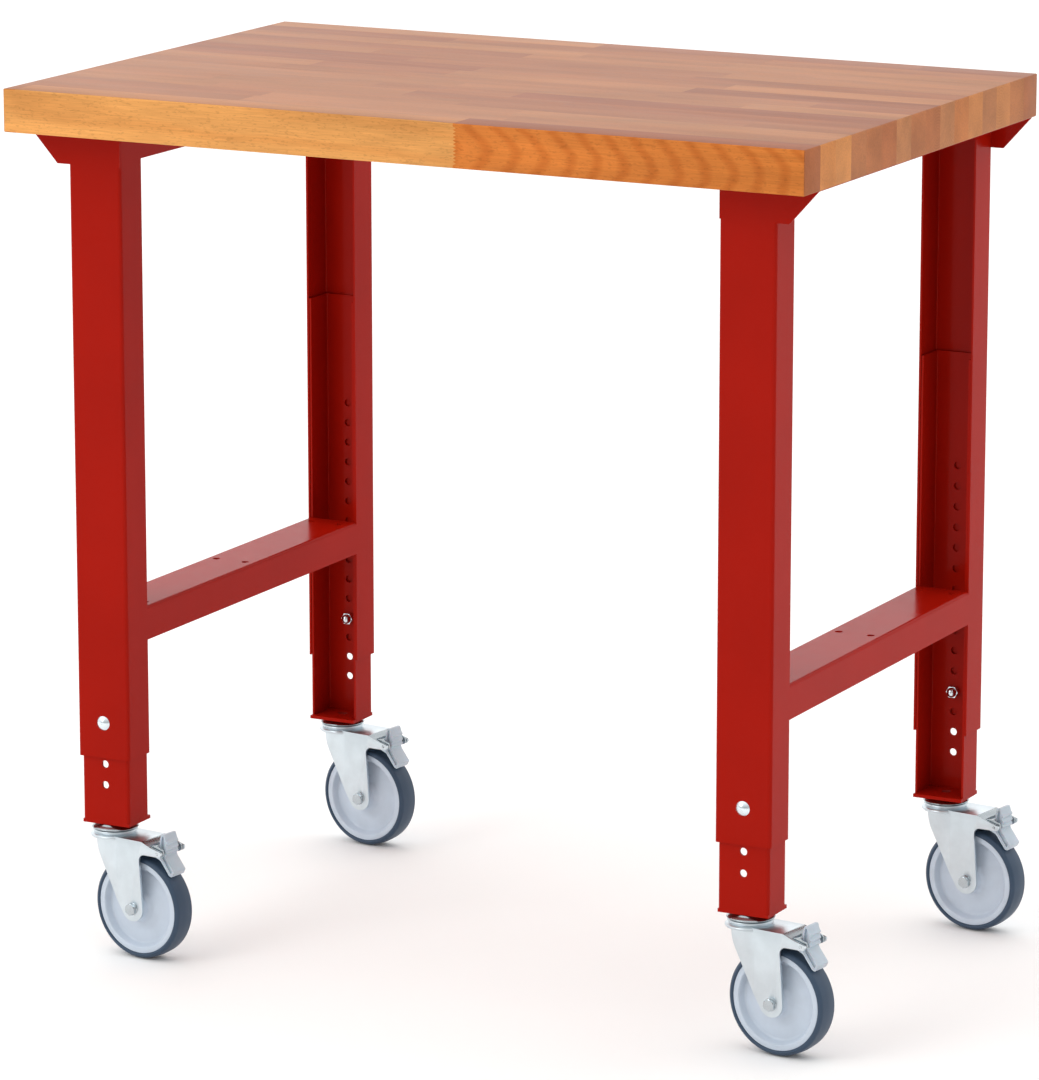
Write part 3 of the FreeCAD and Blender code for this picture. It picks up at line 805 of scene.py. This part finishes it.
def cut_rows(low, high, settings, chance):
    """Cuts the open top into rows along X, and each row into staves; returns the rows' joints."""
    width = (high.y - low.y) / settings.rows
    for row in range(1, settings.rows):
        bpy.ops.mesh.select_all(action="SELECT")
        place = (0, low.y + row * width, 0)
        bpy.ops.mesh.bisect(plane_co=place, plane_no=(0, 1, 0))
    rows = []
    for row in range(settings.rows):
        joints = row_joints(settings, row, high.x - low.x, chance)
        for at in joints:
            pick_row(row, low, width, settings.rows)
            bpy.ops.mesh.bisect(plane_co=(low.x + at, 0, 0), plane_no=(1, 0, 0))
        rows.append(joints)
    return rows


def cut_fingers(low, at, settings):
    """Cuts the zigzag of a finger joint into the front face of the open top."""

    def on_joint(vertex):
        """Whether a vertex lies on the joint's line in the front face."""
        return abs(vertex.co.x - at) < ON_LINE and abs(vertex.co.y - low.y) < ON_LINE

    def upright(edge):
        """Whether an edge is the joint's line between the rounded edges."""
        return all(on_joint(vertex) for vertex in edge.verts) and edge.calc_length() > 10 * MM

    bpy.ops.mesh.select_mode(type="EDGE")
    if not pick("edges", upright):
        raise RuntimeError("the front stave has no joint to cut fingers in")
    bpy.ops.mesh.subdivide(number_cuts=FINGER_CUTS)
    shape = bmesh.from_edit_mesh(bpy.context.edit_object.data)
    heights = sorted(vertex.co.z for vertex in shape.verts if on_joint(vertex))
    tips = heights[2:-2:2]

    def tip(vertex):
        """Whether a vertex becomes the tip of a finger."""
        return on_joint(vertex) and any(abs(vertex.co.z - height) < SAME_PLACE for height in tips)

    bpy.ops.mesh.select_mode(type="VERT")
    pick("verts", tip)
    bpy.ops.transform.translate(value=(settings.finger_depth, 0, 0))


def stave_tones(joints_of_rows, chance):
    """A tone and a pattern shift for each stave: set in the front row, random in the others."""
    tones = [
        [(chance.triangular(0.0, 1.0, 0.42), chance.random()) for _ in range(len(joints) + 1)]
        for joints in joints_of_rows
    ]
    tones[0] = [(0.5, 0.31), (0.06, 0.53), (0.95, 0.12)]
    return tones


class BENCH_OT_worktop(bpy.types.Operator):
    """Models the beech top from its staves"""

    bl_idname = "bench.worktop"
    bl_label = "Worktop"

    def execute(self, context):
        settings = context.scene.bench_worktop
        chance = random.Random(11)
        low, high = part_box("worktop")
        deselect()
        bpy.ops.mesh.primitive_cube_add(size=1, location=(low + high) / 2, scale=high - low)
        top = settle(context.view_layer.objects.active)
        start_edit(top, "EDGE")
        bpy.ops.mesh.select_all(action="SELECT")
        bpy.ops.mesh.bevel(offset=settings.edge_round, segments=3, affect="EDGES")
        bpy.ops.mesh.select_mode(type="FACE")
        rows = cut_rows(low, high, settings, chance)
        for at in rows[0]:
            cut_fingers(low, low.x + at, settings)
        end_edit()
        self.tone_staves(top, rows, low, high, chance)
        smooth(top)
        finish(top, "beech_worktop", beech(settings), "root", "beech", "worktop")
        return {"FINISHED"}

    def tone_staves(self, top, rows, low, high, chance):
        """Writes each stave's tone, edge light and pattern shift on its faces: the edge light is
        painted light, full on the long edges and partial on the end grain.
        """
        tones = stave_tones(rows, chance)
        width = (high.y - low.y) / len(rows)
        layer = top.data.attributes.new("stave", "FLOAT_COLOR", "CORNER")
        for face in top.data.polygons:
            row = row_at(face.center.y, low, width, len(rows))
            before = [at for at in rows[row] if low.x + at < face.center.x]
            tone, shift = tones[row][len(before)]
            # Painted light: the long edges are made lighter than the top.
            on_long_edge = abs(face.normal.y) > 0.5
            on_end_grain = abs(face.normal.x) > 0.7
            edge_light_and_end_grain = 1.0 if on_long_edge else 0.0
            if on_end_grain:
                edge_light_and_end_grain = 0.25 + 0.6 * shift
                tone = min(1.0, tone * 0.7 + 0.3)
            middle_row = low.y + (row + 0.5) * width
            for corner in face.loop_indices:
                layer.data[corner].color = (tone, edge_light_and_end_grain, shift, middle_row)


# ---------------------------------------------------------------- steel frame


class BENCH_OT_steel(bpy.types.Operator):
    """Paints the legs, rails, bearers and foot plates"""

    bl_idname = "bench.steel"
    bl_label = "Painted steel"

    def execute(self, context):
        painted = ("outer_leg", "inner_leg", "foot_plate", "cross_rail", "top_bearer")
        paint = powder_coat(context.scene.bench_steel)
        for name, node in frame["nodes"].items():
            if name.startswith(painted):
                coat_node(node, paint)
        return {"FINISHED"}


class BENCH_OT_fasteners(bpy.types.Operator):
    """Plates the bolts, nuts and screws of the frame"""

    bl_idname = "bench.fasteners"
    bl_label = "Fasteners"

    def execute(self, context):
        plated = ("height_bolts", "cap_nuts", "worktop_screws", "caster_bolt_", "axle_sleeve_")
        bright = zinc("Bright Zinc", 1.0, 0.22, 0.03)
        for name, node in frame["nodes"].items():
            if name.startswith(plated):
                coat_node(node, bright)
        return {"FINISHED"}


# ---------------------------------------------------------------- casters


class BENCH_OT_forks(bpy.types.Operator):
    """Models the pressed caster forks"""

    bl_idname = "bench.forks"
    bl_label = "Caster forks"

    def execute(self, context):
        settings = context.scene.bench_caster
        sheet = settings.fork_sheet / MM
        lean = settings.fork_lean / MM
        centre = wheel_centre()
        axle_bore = 4.3
        half = abs(caster_box("axle_bolt_" + CORNERS[0])[0].y + AXLE_HEAD_HEIGHT)
        fork = plate("fork", self.side_outline(centre), -half, half, upright=True)
        combine(fork, plate("plan", self.plan_outline(half, lean, 4), 0, 200), "INTERSECT")
        inner_side = [
            (-60, 20),
            (-60, 142),
            (57, 142),
            (66, 138.4),
            (66, 180),
            (120, 180),
            (120, 20),
        ]
        inside = plate("inside", inner_side, -half, half, upright=True)
        inner_plan = self.plan_outline(half - sheet, lean, 3)
        combine(inside, plate("plan", inner_plan, 0, 200), "INTERSECT")
        combine(fork, inside, "DIFFERENCE")
        bore = plate("bore", circle(centre.x, centre.z, axle_bore), -60, 60, upright=True)
        combine(fork, bore, "DIFFERENCE")
        soften(fork, settings.fork_edge)
        crown = turned("crown", self.crown_profile(), 96)
        soften(crown, 0.3 * MM)
        join(fork, crown)
        self.pick_painted_reflection_faces(fork)
        # The second zinc is the first one made darker: painted dark reflection on the fork's top
        # faces.
        zinc_with_painted_reflection = (zinc("Satin Zinc", 0.86, 0.34, 0.05), zinc("Shaded Zinc", 0.42, 0.26, 0.05))
        set_on_casters(fork, "pressed_fork", zinc_with_painted_reflection, "caster", "zinc", "fork")
        return {"FINISHED"}

    def pick_painted_reflection_faces(self, fork):
        """Gives the top faces behind the crown the second material, a darker copy of the same zinc:
        painted dark reflection on these upward faces.
        """
        lowest_top = 136 * MM
        behind_crown = 26 * MM
        for face in fork.data.polygons:
            high_up = face.normal.z > 0.6 and face.center.z > lowest_top
            face.material_index = int(high_up and face.center.x > behind_crown)

    def side_outline(self, centre):
        """The fork's arm from the side."""
        end = 15
        foot = centre.z - end
        return rounded(
            [
                (-16, 146, 4),
                (57, 146, 6),
                (71, 140.6, 14),
                (87.6, 136.6, 2.6),
                (84, 131, 3),
                (52.2, 130.4, 8),
                (58.2, foot, end),
                (33.6, foot, end),
                (-14.5, 126, 40),
            ],
            math.radians(6),
        )

    def plan_outline(self, half, lean, bend):
        """The fork from above: its front narrows ahead of the bend."""
        front = -40
        crease = 20
        lean_length = 35
        near = half - lean * (crease - front) / lean_length
        return rounded(
            [
                (front, -near, 0),
                (crease, -half, bend),
                (120, -half, 0),
                (120, half, 0),
                (crease, half, bend),
                (front, near, 0),
            ],
            math.radians(1.5),
        )

    def crown_profile(self):
        """The section of the fork's crown and the lower race pressed on it."""
        return [
            (9.3, 142.0),
            (26.6, 141.2),
            (28.4, 141.6),
            (29.0, 143.0),
            (28.5, 144.6),
            (26.4, 146.0),
            (24.6, 146.4),
            (24.6, 146.9),
            (25.6, 147.4),
            (26.4, 148.6),
            (26.0, 150.0),
            (24.4, 150.8),
            (22.0, 151.0),
            (9.3, 151.0),
        ]


class BENCH_OT_swivels(bpy.types.Operator):
    """Models the upper races and kingpins of the casters"""

    bl_idname = "bench.swivels"
    bl_label = "Swivel races"

    def execute(self, context):
        low, high = caster_box("swivel_race_" + CORNERS[0])
        top = high.z
        race = [
            (6.6, top),
            (19.0, top),
            (20.6, top - 0.6),
            (21.6, top - 2.0),
            (23.4, top - 3.0),
            (26.2, top - 4.2),
            (27.5, top - 5.4),
            (27.4, top - 6.2),
            (26.2, top - 6.5),
            (9.0, top - 6.6),
            (9.0, low.z + 2.7),
            (13.6, low.z + 2.5),
            (14.0, low.z + 1.9),
            (14.0, low.z + 0.5),
            (13.5, low.z),
            (6.6, low.z),
        ]
        swivel = soften(turned("swivel", race, 96), 0.25 * MM)
        # The race's zinc is made darker than the fork's: painted dark reflection on the polished
        # race.
        plating = zinc("Polished Zinc", 0.52, 0.20, 0.03)
        set_on_casters(swivel, "upper_race", plating, "leg", "zinc", "swivel_race")
        return {"FINISHED"}


class BENCH_OT_wheels(bpy.types.Operator):
    """Models the wheel centres and their tyres"""

    bl_idname = "bench.wheels"
    bl_label = "Wheels"

    def execute(self, context):
        settings = context.scene.bench_caster
        low, high = caster_box("wheel_core_" + CORNERS[0])
        hub = high.y
        rim = (high.z - low.z) / 2
        core = turned("core", self.core_profile(rim, hub), 128)
        centre = wheel_centre()
        smooth(lay_on_axle(core, centre), math.radians(24))
        plastic = moulded("Wheel Plastic", tuple(settings.wheel_plastic), 0.30, 0.04)
        set_on_casters(core, "wheel_centre", plastic, "wheel", "wheel_plastic", "wheel_core")
        low, high = caster_box("tread_" + CORNERS[0])
        tyre = turned("tyre", self.tyre_profile(rim, (high.z - low.z) / 2, high.y), 160)
        smooth(lay_on_axle(tyre, centre), math.radians(50))
        colour = tuple(settings.tread_rubber)
        rubber = moulded("Tread Rubber", colour, 0.44, 0.10, Specular_IOR_Level=0.3)
        set_on_casters(tyre, "tyre", rubber, "wheel", "tread_rubber", "tread")
        return {"FINISHED"}

    def core_profile(self, rim, hub):
        """The section of the wheel centre: flat rim, sloping wall, dished web and hub."""
        half = [
            (6.1, hub, 0),
            (14.4, hub, 0.8),
            (15.2, hub - 7, 2),
            (19.0, 8.2, 7),
            (30.0, 6.0, 20),
            (rim - 10.4, 4.6, 3.5),
            (rim - 7.2, 12.2, 1.2),
            (rim - 6.2, 13.5, 0.5),
            (rim, 13.5, 0.4),
        ]
        other = [(radius, -side, bend) for radius, side, bend in reversed(half)]
        return rounded(half + other)

    def tyre_profile(self, rim, radius, half):
        """The section of the tyre: rounded shoulders and a slightly crowned tread."""
        side = [
            (rim, half - 2.6, 0),
            (rim + 0.5, half - 1.6, 0.3),
            (radius - 5.0, half - 0.2, 1.6),
            (radius - 1.1, half - 3.4, 4.6),
            (radius, 0, 40),
        ]
        other = [(out, -across, bend) for out, across, bend in reversed(side[:-1])]
        return rounded(side + other, math.radians(6))


class BENCH_OT_axles(bpy.types.Operator):
    """Models the axle bolts and their nuts"""

    bl_idname = "bench.axles"
    bl_label = "Axle bolts"

    def execute(self, context):
        # This zinc is made darker than the frame's bolts: painted shade and dark reflection on the
        # axle heads and nuts.
        bright = zinc("Axle Zinc", 0.66, 0.18, 0.03)
        centre = wheel_centre()
        bolt = lay_on_axle(self.make_bolt(), centre, -1)
        set_on_casters(bolt, "axle_screw", bright, "caster", "zinc", "axle_bolt")
        nut = lay_on_axle(self.make_nut(), centre)
        set_on_casters(nut, "axle_lock_nut", bright, "caster", "zinc", "axle_nut")
        return {"FINISHED"}

    def make_bolt(self):
        """A flanged hexagon bolt, head up, with a shank whose end is threaded."""
        low, high = caster_box("axle_bolt_" + CORNERS[0])
        head_top = -low.y
        tip = -high.y
        seat = head_top - AXLE_HEAD_HEIGHT
        shank_radius = 4
        root_radius = 3.45
        pitch = 1.25
        thread = -24.0
        shank = [(0, seat + 0.4), (shank_radius, seat + 0.4)]
        while thread > tip + 1.2:
            shank += [(shank_radius, thread), (root_radius, thread - pitch / 2)]
            thread -= pitch
        shank += [(3.5, tip + 0.7), (3.0, tip), (0, tip)]
        head = soften(hexagon("head", high.z - low.z, seat + 0.8, head_top), 0.25 * MM)
        return join(head, smooth(flange("washer", 0, seat)), turned("shank", shank, 40))

    def make_nut(self):
        """A flanged lock nut with its round collar."""
        low, high = caster_box("axle_nut_" + CORNERS[0])
        seat = low.y
        nut = soften(hexagon("nut", high.z - low.z, seat, seat + 4.6), 0.25 * MM)
        collar_profile = [
            (3.2, seat + 4.4, 0),
            (5.8, seat + 4.4, 0),
            (5.4, high.y, 1.0),
            (3.2, high.y, 0.2),
        ]
        collar = smooth(turned("collar", rounded(collar_profile)))
        return join(nut, collar, smooth(flange("base", 4.2, seat)))


class BENCH_OT_brakes(bpy.types.Operator):
    """Models the brake pedals and the carriers they rock on"""

    bl_idname = "bench.brakes"
    bl_label = "Brakes"

    def execute(self, context):
        settings = context.scene.bench_caster
        back = caster_place(CORNERS[0]).inverted()
        pin = back @ Vector(joint("brake_" + CORNERS[0])["pos_m"]) / MM
        self.make_carriers(pin)
        self.make_pedals(pin, settings)
        return {"FINISHED"}

    def make_carriers(self, pin):
        """The tray under the crown, its two cheeks and the pin."""
        tray_outline = rounded(
            [
                (30, 140.6, 0),
                (30, 142.4, 0),
                (58, 142.4, 4),
                (67, 139, 0.6),
                (66.4, 137, 0.6),
                (57, 140.6, 4),
            ]
        )
        tray = soften(plate("tray", tray_outline, -18, 18, upright=True), 0.5 * MM)
        outline = rounded(
            [
                (pin.x - 16, pin.z + 6.4, 1),
                (pin.x - 4, pin.z + 8.4, 4),
                (pin.x + 5.2, pin.z + 4, 5),
                (pin.x + 5.5, pin.z - 3, 3),
                (pin.x, pin.z - 5.5, 4),
                (pin.x - 8, pin.z - 1.5, 3),
                (pin.x - 16, pin.z + 2.4, 1),
            ]
        )
        cheeks = []
        for low, high in ((-18.2, -16), (16, 18.2)):
            cheeks.append(soften(plate("cheek", outline, low, high, upright=True), 0.7 * MM, 3))
        rod = turned("pin", [(0, -23), (2.1, -23), (2.5, -22.6), (2.5, 22.6), (2.1, 23), (0, 23)], 32)
        smooth(lay_on_axle(rod, pin))
        carrier = join(tray, *cheeks, rod)
        plating = zinc("Carrier Zinc", 0.58, 0.24, 0.04)
        set_on_casters(carrier, "pedal_carrier", plating, "caster", "zinc", "brake_carrier")

    def make_pedals(self, pin, settings):
        """The rocking pedal: a lever with a toothed back, a foot, and a shoe along the tyre."""
        half = 11
        outline = rounded(
            [
                (pin.x - 2.6, pin.z + 20.4, 1.2),
                (pin.x + 1.4, pin.z + 20.4, 1.6),
                (pin.x + 3.4, pin.z + 14.0, 2.0),
                (pin.x + 5.6, pin.z + 11.2, 0.8),
                (pin.x + 3.6, pin.z + 8.2, 0.8),
                (pin.x + 5.8, pin.z + 4.4, 0.8),
                (pin.x + 3.8, pin.z + 1.6, 0.8),
                (pin.x + 5.8, pin.z - 1.6, 0.8),
                (pin.x + 2.6, pin.z - 4.6, 1.4),
                (pin.x + 4.2, pin.z - 8.0, 2.5),
                (pin.x + 15.6, pin.z - 22.6, 2.2),
                (pin.x + 12.2, pin.z - 28.8, 1.6),
                (pin.x + 8.6, pin.z - 27.6, 2.4),
                (pin.x - 4.2, pin.z - 9.6, 5),
                (pin.x - 5.2, pin.z + 11.8, 4),
            ]
        )
        pedal = plate("pedal", outline, -half, half, upright=True)
        for way in (-1, 1):
            combine(pedal, self.side_pocket(pin, way, half), "DIFFERENCE")
        bore = plate("bore", circle(pin.x, pin.z, 2.6, 32), -30, 30, upright=True)
        combine(pedal, bore, "DIFFERENCE")
        soften(pedal, settings.pedal_edge, 3)
        shoe_outline = rounded(
            [
                (pin.x - 15.6, pin.z - 5.2, 0.5),
                (pin.x - 3.4, pin.z - 8.6, 6),
                (pin.x + 9.4, pin.z - 26.8, 2),
                (pin.x + 12.4, pin.z - 28.4, 0.5),
                (pin.x + 11.4, pin.z - 29.0, 0.5),
                (pin.x + 8.2, pin.z - 28.4, 4),
                (pin.x - 4.4, pin.z - 11.6, 8),
                (pin.x - 16, pin.z - 7, 0.5),
            ]
        )
        shoe_half = half - 0.4
        shoe = plate("shoe", shoe_outline, -shoe_half, shoe_half, upright=True)
        soften(shoe, 0.3 * MM)
        colour = tuple(settings.pedal_plastic)
        glow = {"Subsurface_Weight": 0.12, "Subsurface_Scale": 0.004}
        plastic = moulded("Pedal Plastic", colour, 0.34, 0.05, **glow)
        set_on_casters(pedal, "pedal_lever", plastic, "pedal", "pedal_plastic", "brake_pedal")
        pale = moulded("Shoe Plastic", shade(colour, 1.45)[:3], 0.40, 0.05)
        set_on_casters(shoe, "pedal_shoe", pale, "pedal", "pedal_plastic")

    def side_pocket(self, pin, way, half):
        """The shallow hollow inside the raised rim on one side of the pedal."""
        outline = rounded(
            [
                (pin.x - 1.4, pin.z + 18.2, 0.8),
                (pin.x + 0.6, pin.z + 18.2, 0.8),
                (pin.x + 1.6, pin.z + 11.0, 1),
                (pin.x + 1.4, pin.z - 5.4, 2),
                (pin.x + 12.8, pin.z - 22.0, 1),
                (pin.x + 10.6, pin.z - 25.6, 0.8),
                (pin.x - 1.6, pin.z - 8.4, 3),
                (pin.x - 3.0, pin.z + 9.6, 2),
            ]
        )
        web = half - 2.4
        low, high = sorted((way * web, way * (half + 5)))
        return plate("pocket", outline, low, high, upright=True)


# ---------------------------------------------------------------- stage


class BENCH_OT_stage(bpy.types.Operator):
    """Sets up the floor, the lights and the camera"""

    bl_idname = "bench.stage"
    bl_label = "Stage"

    def execute(self, context):
        settings = context.scene.bench_stage
        self.make_floor(settings)
        self.make_room(context, settings)
        self.make_key_light(context, settings)
        self.make_camera(context, settings)
        context.scene.view_settings.view_transform = "Standard"
        return {"FINISHED"}

    def make_floor(self, settings):
        """A plain pale floor, well past the edge of the picture."""
        deselect()
        bpy.ops.mesh.primitive_plane_add(size=settings.floor_size)
        floor = bpy.context.view_layer.objects.active
        floor.name = "studio_floor"
        pale = (0.94, 0.935, 0.925)
        material = new_material("Studio Floor", pale, roughness=0.85, Specular_IOR_Level=0.1)[0]
        floor.data.materials.append(material)

    def make_room(self, context, settings):
        """Soft light, dimmer from the front and the right than from behind and above."""
        world = bpy.data.worlds.new("Studio Room")
        context.scene.world = world
        world.use_nodes = True
        tree = world.node_tree
        back = tree.nodes["Background"]
        spot = add_node(tree, "ShaderNodeTexCoord").outputs["Generated"]
        parts = add_node(tree, "ShaderNodeSeparateXYZ", {"Vector": spot})
        front = maths(tree, parts.outputs["Y"], 0.5, "MULTIPLY")
        above = maths(tree, parts.outputs["Z"], 0.8, "MULTIPLY")
        right = maths(tree, parts.outputs["X"], -0.3, "MULTIPLY")
        total = maths(tree, maths(tree, front, above, "ADD"), right, "ADD")
        light = spread(tree, total, -0.55, 0.8, 0.36, 1.42)
        tree.links.new(light, back.inputs["Color"])
        back.inputs["Strength"].default_value = settings.sky_strength

    def make_key_light(self, context, settings):
        """A large soft light at the front left, aimed at the bench's middle."""
        place = Vector((-2.4, -4.2, 3.4))
        target = Vector((0, 0, 0.5))
        lamp = bpy.data.lights.new("key_light", "AREA")
        lamp.shape = "SQUARE"
        lamp.size = 2.6
        lamp.energy = settings.key_power
        light = bpy.data.objects.new("key_light", lamp)
        context.collection.objects.link(light)
        light.location = place
        light.rotation_euler = (target - place).to_track_quat("-Z", "Y").to_euler()

    def make_camera(self, context, settings):
        """The camera, above and to the right of the bench's front."""
        lens = bpy.data.cameras.new("bench_camera")
        lens.lens = settings.lens
        camera = bpy.data.objects.new("bench_camera", lens)
        context.collection.objects.link(camera)
        camera.location = settings.camera_place
        camera.rotation_euler = settings.camera_turn
        context.scene.camera = camera


# ---------------------------------------------------------------- panel and main


class BENCH_PT_panel(bpy.types.Panel):
    """Lists the steps that build the bench"""

    bl_idname = "BENCH_PT_panel"
    bl_label = "Work Bench"
    bl_space_type = "VIEW_3D"
    bl_region_type = "UI"
    bl_category = "Work Bench"

    def draw(self, context):
        for group in ("bench_worktop", "bench_steel", "bench_caster", "bench_stage"):
            box = self.layout.box()
            settings = getattr(context.scene, group)
            for name in settings.bl_rna.properties.keys():
                if name not in ("rna_type", "name"):
                    box.prop(settings, name)
        for operator in OPERATORS:
            self.layout.operator(operator.bl_idname)


OPERATORS = (
    BENCH_OT_worktop,
    BENCH_OT_steel,
    BENCH_OT_fasteners,
    BENCH_OT_forks,
    BENCH_OT_swivels,
    BENCH_OT_wheels,
    BENCH_OT_axles,
    BENCH_OT_brakes,
    BENCH_OT_stage,
)
SETTINGS = {
    "bench_worktop": BenchWorktopSettings,
    "bench_steel": BenchSteelSettings,
    "bench_caster": BenchCasterSettings,
    "bench_stage": BenchStageSettings,
}


def register():
    """Registers the settings, the operators and the panel."""
    for name, group in SETTINGS.items():
        bpy.utils.register_class(group)
        setattr(bpy.types.Scene, name, PointerProperty(type=group))
    for operator in OPERATORS:
        bpy.utils.register_class(operator)
    bpy.utils.register_class(BENCH_PT_panel)


def unregister():
    """Takes the panel, the operators and the settings out again."""
    bpy.utils.unregister_class(BENCH_PT_panel)
    for operator in reversed(OPERATORS):
        bpy.utils.unregister_class(operator)
    for name, group in reversed(SETTINGS.items()):
        delattr(bpy.types.Scene, name)
        bpy.utils.unregister_class(group)


def main():
    """Builds the bench and the stage."""
    register()
    bpy.ops.bench.worktop()
    bpy.ops.bench.steel()
    bpy.ops.bench.fasteners()
    bpy.ops.bench.forks()
    bpy.ops.bench.swivels()
    bpy.ops.bench.wheels()
    bpy.ops.bench.axles()
    bpy.ops.bench.brakes()
    bpy.ops.bench.stage()


if __name__ == "__main__":
    main()
